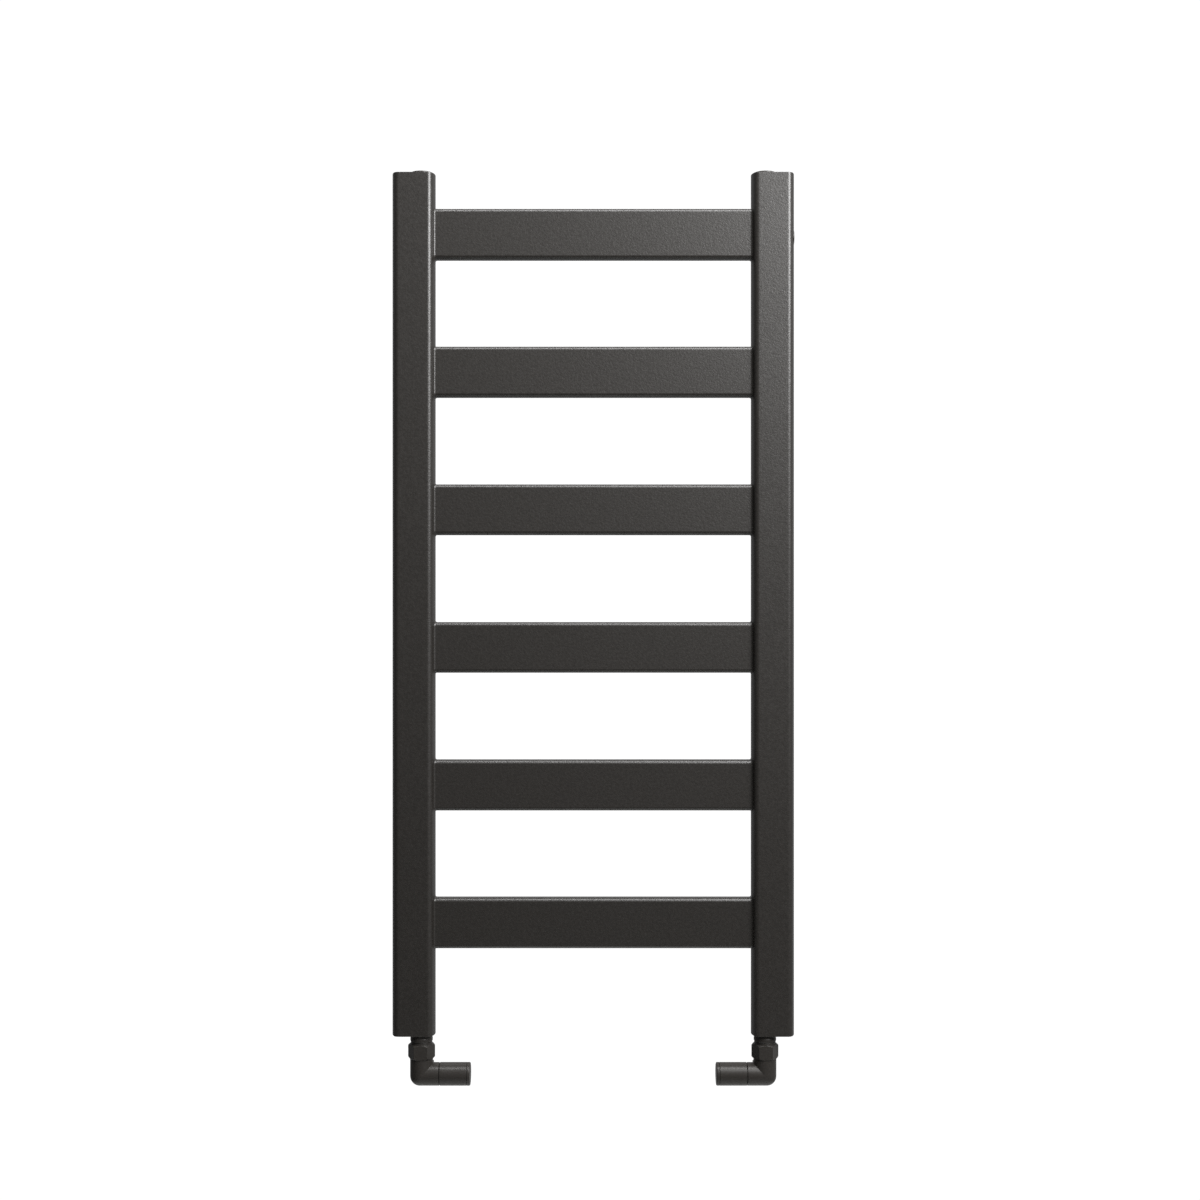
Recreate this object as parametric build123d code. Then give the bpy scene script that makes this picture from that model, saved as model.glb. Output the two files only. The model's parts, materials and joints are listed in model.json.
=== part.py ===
from build123d import *
import os
from math import sqrt

# Ladder towel radiator, water heated, with two corner valves and four wall brackets.
# Millimetres. +Z is up, the front faces -Y, the wall is the plane Y = 0.
# The origin is the centre of the four wall-screw holes, in the wall plane.

# ---- driving dimensions: frame ------------------------------------------------
overall_width = 500.0
upright_length = 1070.0
upright_width = 53.4
upright_depth = 34.0
upright_wall = 1.5
upright_side_radius = 32.0
upright_corner_radius = 7.0
wall_gap = 46.0

bar_count = 6
bar_height = 63.0
bar_depth = 17.0
bar_wall = 1.2
bar_corner_radius = 5.0
bar_top_margin = 43.0
bar_bottom_margin = 107.0
bar_port_height = 44.0
bar_port_width = 8.0
weld_leg = 2.3
weld_throat = 0.36
weld_root_depth = 0.5
weld_section_margin = 1.1
port_corner_gap = 0.01
cut_through = 1.0

# ---- driving dimensions: end plates, tappings, plugs and vent --------------------
tapping_inset = 36.0
end_plate_thickness = 3.0
boss_radius = 13.0
boss_length = 15.0
thread_radius = 9.3
thread_clearance = 0.05
seal_inner_clearance = 0.3
seal_outer_radius = 12.0
seal_thickness = 1.5
plug_head_radius = 14.0
plug_head_height = 2.5
plug_head_rounding = 1.375
plug_shank_length = 12.0
plug_key_width = 8.0
plug_key_depth = 6.0

vent_from_top = 79.0
vent_head_step = 1.4
vent_head_height = 2.5
vent_setback = 0.3
vent_seal_thickness = 0.8
vent_seal_inner_gap = 0.3
vent_seal_outer_gap = 0.1
vent_boss_lead = 1.0
vent_boss_wall = 1.8
vent_boss_length = 16.0
vent_recess_radius = 4.6
vent_recess_depth = 4.5
bleed_radius = 3.0
bleed_square = 5.0
bleed_length = 11.0

# ---- driving dimensions: wall brackets ------------------------------------------
bracket_inset = 22.0
bracket_from_end = 135.0
post_radius = 12.0
post_length = 38.0
post_flange_radius = 17.0
post_floor = 3.0
wall_hole_radius = 2.75
pin_radius = 7.0
pin_collar_radius = 10.0
pin_collar_height = 3.0
pin_end_gap = 8.0
fit_clearance = 0.05
stud_radius = 3.4
stud_length = 9.5
stud_boss_radius = 7.0
stud_boss_floor = 2.0
stud_end_gap = 0.5
grub_radius = 2.5
grub_from_mouth = 8.0

# ---- driving dimensions: corner valves --------------------------------------------
valve_drop = 50.4
body_radius = 14.2
tail_collar_radius = 13.95
tail_collar_height = 9.0
tail_collar_chamfer = 0.4
tail_neck_radius = 11.0
tail_flange_clearance = 0.3
tail_flange_height = 2.5
tail_shank_length = 12.0
water_radius = 7.0
union_nut_wall = 1.4
union_chamfer = 2.0
union_shoulder_radius = 13.3
union_shoulder_height = 2.6
union_gap = 0.5
union_length = 20.8
union_lip = 5.0
union_thread_radius = 13.2
union_washer_thickness = 1.5
union_washer_bore_gap = 0.5
union_washer_rim_gap = 0.4
body_gap = 0.2

seat_offset = 9.0
seat_radius = 5.0
chamber_radius = 9.5
mouth_radius = 11.5
mouth_depth = 6.0
mouth_offset = 22.1
passage_radius = 6.0
port_radius = 4.5
drill_start = (15.0, 5.0)
drill_end = (2.0, 16.0)
water_drill_gap = 1.0
bonnet_seat_gap = 0.2

head_gap = 0.8
head_radius = 14.25
head_length = 38.0
head_cap_length = 3.9
head_wall = 2.05
cap_line_gap = 0.3
cap_spigot_radius = 11.0
cap_spigot_length = 1.5
cap_wall = 3.0
cap_floor = 1.4
cap_outer_rounding = 0.8
cap_inner_rounding = 0.3
shell_rounding = 0.4
land_start = 33.8
land_length = 6.0
bonnet_radius = 8.55
bonnet_end = 44.0
bonnet_hex_step = 0.95
bonnet_skirt_gap = 0.5
bonnet_hex_end = 33.5
clip_width = 1.2
clip_groove_depth = 0.9
clip_stand = 1.1
clip_land_gap = 0.2
clip_mouth = 2.4
clip_space = 1.35
stem_radius = 4.0
stem_end = 45.5
stem_seal_start = 26.0
stem_seal_width = 2.4
stem_seal_depth = 1.5
disc_radius = 6.8
disc_thickness = 2.0
washer_radius = 6.5
washer_thickness = 2.0
washer_hole_radius = 1.5
washer_pin_gap = 0.4
drive_width = 6.0
drive_end = 54.5
drive_web_start = 49.2
drive_web_length = 6.0

inlet_neck_radius = 11.8
inlet_neck_end = 22.8
inlet_thread_radius = 10.4
inlet_thread_end = 32.0
pipe_radius = 7.5
pipe_clearance = 0.05
pipe_stop = 14.0
olive_length = 3.0
olive_wall = 1.7
olive_chamfer = 1.0
inlet_nut_width = 24.0
inlet_nut_start = 23.4
inlet_nut_floor = 2.5
inlet_nut_chamfer = 1.2

# ---- worked out from the above ------------------------------------------------------
half_length = upright_length / 2
upright_y = -(wall_gap + upright_depth / 2)
upright_rear_y = -wall_gap
upright_x = (overall_width - upright_width) / 2
upright_inner_x = overall_width / 2 - upright_width
tapping_x = overall_width / 2 - tapping_inset
bore_radius = thread_radius + thread_clearance
seal_inner_radius = thread_radius + seal_inner_clearance
vent_head_radius = thread_radius + vent_head_step
vent_boss_radius = vent_head_radius + vent_boss_wall
union_width = 2 * (union_thread_radius + union_nut_wall)
tail_flange_radius = union_thread_radius - tail_flange_clearance
bonnet_hex_width = 2 * (bonnet_radius + bonnet_hex_step)
valve_z = -half_length - valve_drop
vent_z = half_length - vent_from_top
bar_pitch = (upright_length - bar_top_margin - bar_bottom_margin - bar_height) / (bar_count - 1)
bracket_spacing_x = overall_width - 2 * bracket_inset
bracket_spacing_z = upright_length - 2 * bracket_from_end
bar_centres = [half_length - bar_top_margin - bar_height / 2 - i * bar_pitch for i in range(bar_count)]
bracket_places = [
    ("upper_left", -bracket_spacing_x / 2, bracket_spacing_z / 2),
    ("upper_right", bracket_spacing_x / 2, bracket_spacing_z / 2),
    ("lower_left", -bracket_spacing_x / 2, -bracket_spacing_z / 2),
    ("lower_right", bracket_spacing_x / 2, -bracket_spacing_z / 2),
]
sides = [("left", -1), ("right", 1)]

# Local X and Z directions of a turned piece that lies along a row axis.
FRAMES = {
    "x": ((0, 1, 0), (1, 0, 0)),
    "y": ((0, 0, 1), (0, 1, 0)),
    "z": ((1, 0, 0), (0, 0, 1)),
}


def along(axis, centre, shape):
    """Lay a shape made on the Z axis along a row axis, with its zero at the centre."""
    x_dir, z_dir = FRAMES[axis]
    return Plane(origin=centre, x_dir=x_dir, z_dir=z_dir).location * shape


def rod(axis, radius, start, end, centre=(0, 0, 0)):
    """A round bar along an axis, from start to end."""
    return along(axis, centre, Pos(0, 0, (start + end) / 2) * Cylinder(radius, end - start))


def ring(axis, inner, outer, start, end, centre=(0, 0, 0)):
    """A flat ring or a tube along an axis."""
    return rod(axis, outer, start, end, centre) - rod(axis, inner, start, end, centre)


def hexagon(axis, width, start, end, centre=(0, 0, 0)):
    """A hexagonal bar, width across its flats."""
    face = RegularPolygon(width / 2, 6, major_radius=False)
    return along(axis, centre, Pos(0, 0, start) * extrude(face, end - start))


def turned(axis, outline, centre=(0, 0, 0)):
    """Turn an outline of (radius, height) points about an axis."""
    face = make_face(Polyline(*[(r, 0, s) for r, s in outline], close=True))
    return along(axis, centre, revolve(face, Axis.Z))


def hex_nut(axis, width, start, end, chamfer_height, centre=(0, 0, 0)):
    """A hexagonal bar whose corners are turned off at both ends."""
    flat = width / 2
    corner = width / sqrt(3)
    lathe = turned(axis, [
        (0, start),
        (flat, start),
        (corner, start + chamfer_height),
        (corner, end - chamfer_height),
        (flat, end),
        (0, end),
    ], centre)
    return hexagon(axis, width, start, end, centre) & lathe


def mirrored(shape, side):
    """The right-hand piece for side 1, its mirror image for side -1."""
    return shape if side > 0 else mirror(shape, about=Plane.YZ)


def save(name, shape):
    """Write one node."""
    solids = shape.solids()
    whole = solids[0] if len(solids) == 1 else Compound(children=list(solids))
    whole.label = name
    export_step(whole, f"parts/{name}.step")


# ---- uprights -------------------------------------------------------------------------
def upright_section(inset=0.0):
    """Flat front and back, bowed sides, rounded corners; inset moves the outline inwards."""
    half_width = upright_width / 2 - inset
    half_depth = upright_depth / 2 - inset
    bow = upright_side_radius - inset
    flat_end = half_width - (bow - sqrt(bow**2 - half_depth**2))
    outline = [
        Line((-flat_end, -half_depth), (flat_end, -half_depth)),
        ThreePointArc((flat_end, -half_depth), (half_width, 0), (flat_end, half_depth)),
        Line((flat_end, half_depth), (-flat_end, half_depth)),
        ThreePointArc((-flat_end, half_depth), (-half_width, 0), (-flat_end, -half_depth)),
    ]
    face = make_face(outline)
    return fillet(face.vertices(), upright_corner_radius - inset)


def upright_block(inset, low, high):
    """The right upright's outline, moved inwards by the inset, filled from low to high."""
    return Pos(upright_x, upright_y, low) * extrude(upright_section(inset), high - low)


tube_end = half_length - end_plate_thickness
upright_envelope = upright_block(0, -half_length, half_length)
upright_core = upright_block(upright_wall, -tube_end, tube_end)
envelopes = [mirrored(upright_envelope, side) for side in (-1, 1)]


def upright(side):
    """A closed-section tube, with a port for each bar and a hole for each bracket stud."""
    tube = upright_block(0, -tube_end, tube_end) - upright_core
    port = RectangleRounded(bar_port_width, bar_port_height, bar_port_width / 2 - port_corner_gap)
    port_start = (upright_inner_x - cut_through, upright_y, 0)
    port_plane = Plane(origin=port_start, x_dir=(0, 1, 0), z_dir=(1, 0, 0))
    port_cut = extrude(port_plane * port, upright_width / 2)
    for z in bar_centres:
        tube -= Pos(0, 0, z) * port_cut
    for z in (-bracket_spacing_z / 2, bracket_spacing_z / 2):
        stud_hole_end = upright_rear_y + cut_through
        tube -= rod("y", stud_radius + fit_clearance, upright_rear_y - 2 * upright_wall, stud_hole_end,
                    (bracket_spacing_x / 2, 0, z))
    if side > 0:
        tube -= rod("x", vent_head_radius + fit_clearance, upright_x, overall_width, (0, upright_y, vent_z))
    return mirrored(tube, side)


def end_plate(side, top):
    """A plate that closes the tube, with a threaded boss welded inside it."""
    plate = upright_block(0, tube_end, half_length)
    boss = rod("z", boss_radius, half_length - boss_length, tube_end, (tapping_x, upright_y, 0))
    plate += boss & upright_core
    plate -= rod("z", bore_radius, 0, half_length, (tapping_x, upright_y, 0))
    plate -= rod("z", seal_outer_radius, half_length - seal_thickness, half_length,
                 (tapping_x, upright_y, 0))
    if not top:
        plate = mirror(plate, about=Plane.XY)
    return mirrored(plate, side)


# ---- towel bars ----------------------------------------------------------------------------
def bar_prism(grow, half_span):
    """The bar's outline, moved outwards by grow, run across the middle of the radiator."""
    face = RectangleRounded(bar_depth + 2 * grow, bar_height + 2 * grow, bar_corner_radius + grow)
    plane = Plane(origin=(-half_span, upright_y, 0), x_dir=(0, 1, 0), z_dir=(1, 0, 0))
    return extrude(plane * face, 2 * half_span)


def towel_bar():
    """A flat oval tube whose ends are cut to the bowed sides of the uprights."""
    reach = upright_inner_x + upright_width / 4
    bar = bar_prism(0, reach) - bar_prism(-bar_wall, reach)
    for envelope in envelopes:
        bar -= envelope
    return bar


def weld_bead():
    """The hollow fillet of weld and paint all round a bar's right-hand end."""
    plane = Plane(origin=(upright_inner_x, upright_y, 0), x_dir=(0, 1, 0), z_dir=(1, 0, 0))
    path = (plane * RectangleRounded(bar_depth, bar_height, bar_corner_radius)).wire()
    start = path @ 0
    tangent = path % 0
    outwards = tangent.cross(Vector(1, 0, 0))
    middle = Vector(upright_inner_x, upright_y, 0)
    if (start - middle).dot(outwards) < 0:
        outwards = outwards * -1
    slope = weld_section_margin * weld_leg
    back = 1.5 * weld_leg
    throat = weld_throat * weld_leg
    section_plane = Plane(origin=start, x_dir=outwards, z_dir=tangent)
    toe = section_plane.to_local_coords(start + Vector(-1, 0, 0))
    sign = 1 if toe.Y > 0 else -1
    outline = [
        Line((-weld_root_depth, -slope * sign), (back, -slope * sign)),
        Line((back, -slope * sign), (weld_leg, 0)),
        ThreePointArc((weld_leg, 0), (throat, throat * sign), (0, weld_leg * sign)),
        Line((0, weld_leg * sign), (-weld_root_depth, weld_leg * sign)),
        Line((-weld_root_depth, weld_leg * sign), (-weld_root_depth, -slope * sign)),
    ]
    bead = sweep(section_plane * make_face(outline), path=path)
    bead -= bar_prism(0, overall_width / 2)
    bead -= upright_envelope
    return bead


# ---- plugs, seals and air vent -------------------------------------------------------------
def top_plug(side):
    """A low round-edged plug with a hexagonal key recess."""
    centre = (tapping_x, upright_y, half_length)
    head = rod("z", plug_head_radius, 0, plug_head_height, centre)
    rim = head.edges().filter_by(GeomType.CIRCLE).sort_by(Axis.Z)[-1]
    plug = fillet(rim, plug_head_rounding)
    plug += rod("z", thread_radius, -plug_shank_length, 0, centre)
    key_end = plug_head_height + cut_through
    plug -= hexagon("z", plug_key_width, plug_head_height - plug_key_depth, key_end, centre)
    return mirrored(plug, side)


def end_seal(side, top):
    """The flat seal under a plug's head or a valve tail's collar."""
    seal = ring("z", seal_inner_radius, seal_outer_radius, half_length - seal_thickness, half_length,
                (tapping_x, upright_y, 0))
    if not top:
        seal = mirror(seal, about=Plane.XY)
    return mirrored(seal, side)


vent_face_x = overall_width / 2 - vent_setback
vent_seat_x = vent_face_x - vent_head_height - vent_seal_thickness
vent_centre = (0, upright_y, vent_z)


def vent_boss():
    """The threaded boss welded inside the right upright's outer side."""
    boss = rod("x", vent_boss_radius, overall_width / 2 - vent_boss_length, overall_width / 2, vent_centre)
    boss &= upright_core
    boss -= rod("x", bore_radius, upright_x, overall_width / 2, vent_centre)
    boss -= rod("x", vent_head_radius + fit_clearance, vent_seat_x, overall_width / 2, vent_centre)
    return boss


def vent_plug():
    """The vent's body, with a recess for the key and a threaded bore for the bleed screw."""
    under_head = vent_face_x - vent_head_height
    plug = rod("x", vent_head_radius, under_head, vent_face_x, vent_centre)
    shank_end = overall_width / 2 - vent_boss_length + vent_boss_lead
    plug += rod("x", thread_radius, shank_end, under_head, vent_centre)
    plug -= rod("x", vent_recess_radius, vent_face_x - vent_recess_depth, vent_face_x, vent_centre)
    plug -= rod("x", bleed_radius + fit_clearance, upright_x, vent_face_x, vent_centre)
    return plug


def vent_seal():
    """The flat seal under the vent's head."""
    inner = bore_radius + vent_seal_inner_gap
    outer = vent_head_radius - vent_seal_outer_gap
    return ring("x", inner, outer, vent_seat_x, vent_seat_x + vent_seal_thickness, vent_centre)


def bleed_screw():
    """A plain screw with a square end for the radiator key."""
    screw_end = vent_face_x - vent_setback
    square_start = vent_face_x - vent_recess_depth
    screw = rod("x", bleed_radius, screw_end - bleed_length, square_start, vent_centre)
    square = extrude(Rectangle(bleed_square, bleed_square), screw_end - square_start)
    square = Pos(0, 0, square_start) * square
    return screw + along("x", vent_centre, square)


# ---- wall brackets ---------------------------------------------------------------------------
def wall_post(x, z):
    """A flanged cup that one screw holds to the wall; the bracket pin slides into it."""
    centre = (x, 0, z)
    post = rod("y", post_radius, -post_length, 0, centre)
    post += rod("y", post_flange_radius, -post_floor, 0, centre)
    post -= rod("y", pin_radius + fit_clearance, -post_length, -post_floor, centre)
    post -= rod("y", wall_hole_radius, -post_floor, 0, centre)
    grub_y = -post_length + grub_from_mouth
    post -= rod("z", grub_radius + fit_clearance, -post_radius, cut_through - pin_radius, (x, grub_y, z))
    return post


def bracket_pin(x, z):
    """The pin between post and upright, with a collar and a stud at its front end."""
    centre = (x, upright_rear_y, z)
    pin = rod("y", pin_radius, 0, wall_gap - post_floor - pin_end_gap, centre)
    pin += rod("y", pin_collar_radius, 0, pin_collar_height, centre)
    pin += rod("y", stud_radius, -stud_length, 0, centre)
    return pin


def stud_boss(x, z):
    """The blind threaded boss welded inside an upright's back."""
    centre = (x, upright_rear_y - upright_wall, z)
    depth = stud_length - upright_wall + stud_end_gap
    boss = rod("y", stud_boss_radius, -depth - stud_boss_floor, 0, centre)
    boss -= rod("y", stud_radius + fit_clearance, -depth, 0, centre)
    return boss


def grub_screw(x, z):
    """The set screw that locks a bracket pin in its post, from below."""
    grub_y = -post_length + grub_from_mouth
    return rod("z", grub_radius, -post_radius, -pin_radius, (x, grub_y, z))


def at_brackets(maker):
    """One solid at each of the four brackets, as a group."""
    return Compound(children=[maker(x, z).solid() for name, x, z in bracket_places])


# ---- corner valve: made for the left, about the point where its three axes meet ----------------
# Local +X runs to the head, +Z up to the radiator and +Y back to the wall.
union_top = valve_drop - tail_collar_height - union_gap
union_bottom = union_top - union_length
lip_z = union_top - union_lip
flange_bottom = lip_z - tail_flange_height
spigot_top = flange_bottom - union_washer_thickness
shoulder_z = union_bottom - body_gap


def valve_tail():
    """The tail that screws into the radiator, with its visible collar and its union flange."""
    return turned("z", [
        (water_radius, flange_bottom),
        (tail_flange_radius, flange_bottom),
        (tail_flange_radius, lip_z),
        (tail_neck_radius, lip_z),
        (tail_neck_radius, union_top + union_gap),
        (tail_collar_radius - tail_collar_chamfer, union_top + union_gap),
        (tail_collar_radius, union_top + union_gap + tail_collar_chamfer),
        (tail_collar_radius, valve_drop),
        (thread_radius, valve_drop),
        (thread_radius, valve_drop + tail_shank_length),
        (water_radius, valve_drop + tail_shank_length),
    ])


def union_nut():
    """The hexagonal union nut, with a round shoulder above its chamfered corners."""
    nut = hex_nut("z", union_width, union_bottom, union_top - union_shoulder_height, union_chamfer)
    nut += rod("z", union_shoulder_radius, union_bottom + union_chamfer, union_top)
    nut -= rod("z", union_thread_radius, union_bottom, lip_z)
    nut -= rod("z", tail_neck_radius + fit_clearance, lip_z, union_top)
    return nut


def union_washer():
    """The flat washer between the tail's flange and the valve body."""
    bore = water_radius + union_washer_bore_gap
    return ring("z", bore, tail_flange_radius - union_washer_rim_gap, spigot_top, flange_bottom)


def valve_body():
    """The corner body: outlet up, inlet back, spindle sideways, all ways meeting at the seat."""
    body = rod("z", body_radius, 0, shoulder_z)
    body += rod("z", union_thread_radius - fit_clearance, shoulder_z, spigot_top)
    body += Sphere(body_radius)
    body += rod("x", body_radius, 0, mouth_offset)
    body += rod("y", inlet_neck_radius, 0, inlet_neck_end)
    body += rod("y", inlet_thread_radius, inlet_neck_end, inlet_thread_end)
    body -= rod("z", water_radius, seat_offset + water_drill_gap, spigot_top)
    body -= rod("x", chamber_radius, seat_offset, mouth_offset)
    body -= rod("x", mouth_radius, mouth_offset - mouth_depth, mouth_offset)
    body -= rod("x", seat_radius, 0, seat_offset)
    body -= Sphere(passage_radius)
    body -= rod("y", passage_radius, 0, pipe_stop)
    body -= rod("y", pipe_radius + pipe_clearance, pipe_stop, inlet_thread_end)
    port_low = Vector(drill_start[0], 0, drill_start[1])
    port_high = Vector(drill_end[0], 0, drill_end[1])
    port_dir = port_high - port_low
    port_plane = Plane(origin=port_low, z_dir=port_dir)
    body -= extrude(port_plane * Circle(port_radius), port_dir.length)
    return body


def bonnet():
    """The bush that closes the body and guides the spindle; the head turns on its outer end."""
    inner_face = mouth_offset - mouth_depth + bonnet_seat_gap
    piece = rod("x", mouth_radius - thread_clearance, inner_face, mouth_offset)
    skirt_bore = head_radius - head_wall
    spanner_hex = hexagon("x", bonnet_hex_width, mouth_offset, bonnet_hex_end)
    piece += spanner_hex & rod("x", skirt_bore - bonnet_skirt_gap, mouth_offset, bonnet_hex_end)
    piece += rod("x", bonnet_radius, mouth_offset, bonnet_end)
    piece -= rod("x", stem_radius + fit_clearance, inner_face, bonnet_end)
    seal_end = stem_seal_start + stem_seal_width
    piece -= rod("x", stem_radius + fit_clearance + stem_seal_depth, stem_seal_start, seal_end)
    clip_start = land_start + land_length + clip_land_gap
    piece -= ring("x", bonnet_radius - clip_groove_depth, bonnet_radius + cut_through, clip_start,
                  clip_start + clip_width)
    return piece


def stem_seal():
    """The ring that seals the stem in the bonnet."""
    inner = stem_radius + fit_clearance
    return ring("x", inner, inner + stem_seal_depth, stem_seal_start, stem_seal_start + stem_seal_width)


def head_clip():
    """The open ring that keeps the head on the bonnet."""
    clip_start = land_start + land_length + clip_land_gap
    clip = ring("x", bonnet_radius - clip_groove_depth, bonnet_radius + clip_stand, clip_start,
                clip_start + clip_width)
    mouth = Box(2 * clip_mouth, clip_mouth, 2 * bonnet_radius)
    return clip - Pos(clip_start, 0, bonnet_radius) * mouth


def spindle():
    """The stem, with the washer holder at one end and the hexagonal drive at the other."""
    holder = seat_offset + washer_thickness
    piece = rod("x", washer_hole_radius - fit_clearance, seat_offset + washer_pin_gap, holder)
    piece += rod("x", disc_radius, holder, holder + disc_thickness)
    piece += rod("x", stem_radius, holder + disc_thickness, stem_end)
    piece += hexagon("x", drive_width, stem_end, drive_end)
    return piece


def seat_washer():
    """The rubber washer that closes the seat."""
    return ring("x", washer_hole_radius, washer_radius, seat_offset, seat_offset + washer_thickness)


head_start = mouth_offset + head_gap
head_end = head_start + head_length
shell_end = head_end - head_cap_length - cap_line_gap


def head_shell():
    """The turned hand wheel: a skirt, a bearing land, and a web with the hexagonal drive hole."""
    land_end = land_start + land_length
    web_end = drive_web_start + drive_web_length
    inner = head_radius - head_wall
    shell = rod("x", head_radius, head_start, shell_end)
    edges = shell.edges().filter_by(GeomType.CIRCLE)
    shell = fillet(edges, shell_rounding)
    shell -= rod("x", inner, head_start, land_start)
    shell -= rod("x", bonnet_radius + fit_clearance, land_start, land_end)
    shell -= rod("x", bonnet_radius + clip_stand + clip_space, land_end, drive_web_start)
    shell -= hexagon("x", drive_width + 2 * fit_clearance, drive_web_start, web_end)
    shell -= rod("x", cap_spigot_radius + fit_clearance, web_end, shell_end)
    return shell


def head_cap():
    """The end cap, with a spigot that snaps into the shell."""
    cap_start = head_end - head_cap_length
    cap = rod("x", head_radius, cap_start, head_end)
    edges = cap.edges().filter_by(GeomType.CIRCLE).sort_by(Axis.X)
    cap = fillet(edges[-1], cap_outer_rounding)
    cap = fillet(cap.edges().filter_by(GeomType.CIRCLE).sort_by(Axis.X)[0], cap_inner_rounding)
    spigot_start = shell_end - cap_spigot_length
    cap += rod("x", cap_spigot_radius, spigot_start, cap_start + cap_floor / 2)
    hollow_end = cap_start + cap_floor
    cap -= rod("x", cap_spigot_radius - cap_wall, spigot_start, hollow_end)
    return cap


def inlet_nut():
    """The compression nut that holds the supply pipe."""
    bore_end = inlet_thread_end + olive_length
    nut_end = bore_end + inlet_nut_floor
    nut = hex_nut("y", inlet_nut_width, inlet_nut_start, nut_end, inlet_nut_chamfer)
    nut -= rod("y", inlet_thread_radius + fit_clearance, inlet_nut_start, bore_end)
    nut -= rod("y", pipe_radius + pipe_clearance, bore_end, nut_end)
    return nut


def olive():
    """The brass ring that grips the pipe under the compression nut."""
    inner = pipe_radius + pipe_clearance
    outer = inner + olive_wall
    start = inlet_thread_end
    end = start + olive_length
    return turned("y", [
        (inner, start),
        (outer - olive_chamfer, start),
        (outer, start + olive_chamfer),
        (outer, end - olive_chamfer),
        (outer - olive_chamfer, end),
        (inner, end),
    ])


VALVE_PIECES = {
    "valve_tail": valve_tail,
    "union_nut": union_nut,
    "union_washer": union_washer,
    "valve_body": valve_body,
    "valve_bonnet": bonnet,
    "stem_seal": stem_seal,
    "head_clip": head_clip,
    "valve_spindle": spindle,
    "seat_washer": seat_washer,
    "valve_head": head_shell,
    "valve_head_cap": head_cap,
    "inlet_nut": inlet_nut,
    "inlet_olive": olive,
}


def save_valves():
    """Both valves: the left one moved to its tapping, the right one its mirror image."""
    for piece_name, maker in VALVE_PIECES.items():
        left_piece = Pos(-tapping_x, upright_y, valve_z) * maker()
        save(f"left_{piece_name}", left_piece)
        save(f"right_{piece_name}", mirror(left_piece, about=Plane.YZ))


# ---- write every node ---------------------------------------------------------------------
os.makedirs("parts", exist_ok=True)

bar = towel_bar()
for number, z in enumerate(bar_centres, start=1):
    save(f"towel_bar_{number}", Pos(0, 0, z) * bar)

bead = weld_bead()
for name, side in sides:
    save(f"{name}_upright", upright(side))
    save(f"{name}_top_end_plate", end_plate(side, True))
    save(f"{name}_bottom_end_plate", end_plate(side, False))
    save(f"{name}_top_plug", top_plug(side))
    save(f"{name}_plug_seal", end_seal(side, True))
    save(f"{name}_tail_seal", end_seal(side, False))
    beads = [mirrored(Pos(0, 0, z) * bead, side).solid() for z in bar_centres]
    save(f"{name}_weld_beads", Compound(children=beads))

save("vent_boss", vent_boss())
save("vent_plug", vent_plug())
save("vent_seal", vent_seal())
save("bleed_screw", bleed_screw())

for name, x, z in bracket_places:
    save(f"{name}_wall_post", wall_post(x, z))
save("bracket_pins", at_brackets(bracket_pin))
save("stud_bosses", at_brackets(stud_boss))
save("grub_screws", at_brackets(grub_screw))

save_valves()
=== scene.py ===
import json
from math import atan2, cos, pi, radians, sin, sqrt

import bmesh
import bpy
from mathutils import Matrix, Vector


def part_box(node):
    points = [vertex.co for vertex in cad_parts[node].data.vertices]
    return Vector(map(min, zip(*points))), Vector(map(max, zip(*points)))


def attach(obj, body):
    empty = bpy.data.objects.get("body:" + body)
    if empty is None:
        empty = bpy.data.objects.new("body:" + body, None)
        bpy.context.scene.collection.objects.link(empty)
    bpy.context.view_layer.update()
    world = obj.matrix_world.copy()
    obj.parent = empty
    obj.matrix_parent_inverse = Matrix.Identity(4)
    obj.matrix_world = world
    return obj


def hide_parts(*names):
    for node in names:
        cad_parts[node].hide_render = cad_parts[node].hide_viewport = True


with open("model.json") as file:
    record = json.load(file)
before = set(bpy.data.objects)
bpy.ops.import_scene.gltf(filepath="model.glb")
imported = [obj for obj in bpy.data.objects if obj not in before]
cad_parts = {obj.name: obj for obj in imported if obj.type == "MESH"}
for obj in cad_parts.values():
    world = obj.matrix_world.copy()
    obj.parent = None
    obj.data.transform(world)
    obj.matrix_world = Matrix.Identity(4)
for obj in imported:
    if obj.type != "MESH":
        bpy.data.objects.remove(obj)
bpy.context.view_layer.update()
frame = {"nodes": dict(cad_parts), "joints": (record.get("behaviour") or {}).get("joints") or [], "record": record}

# ---- sizes that no box in the frame gives, in metres ---------------------------------------
MM = 0.001
ROUND = 96                      # points round a turned piece
CREASE = radians(32)            # edges that turn by more than this stay crisp

# Edges, from the keenest to the roundest.
KEEN_EDGE = 0.1 * MM
FINE_EDGE = 0.15 * MM
SLIGHT_EDGE = 0.2 * MM
BROKEN_EDGE = 0.3 * MM
CUT_EDGE = 0.35 * MM            # painted edge of a ground plate
SOFT_EDGE = 0.4 * MM
MILD_EDGE = 0.5 * MM
EASED_EDGE = 0.6 * MM
DOMED_EDGE = 0.9 * MM
CAP_EDGE = 1.3 * MM

UPRIGHT_WALL = 1.5 * MM
UPRIGHT_BOW = 32 * MM           # radius of an upright's bowed sides
UPRIGHT_CORNER = 7 * MM
BAR_WALL = 1.2 * MM
BAR_CORNER = 5 * MM
FILLET_LEG = 2.3 * MM           # weld and paint round a bar's end
FILLET_SUNK = 0.3 * MM          # how far its root goes into the bar and the upright

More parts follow.
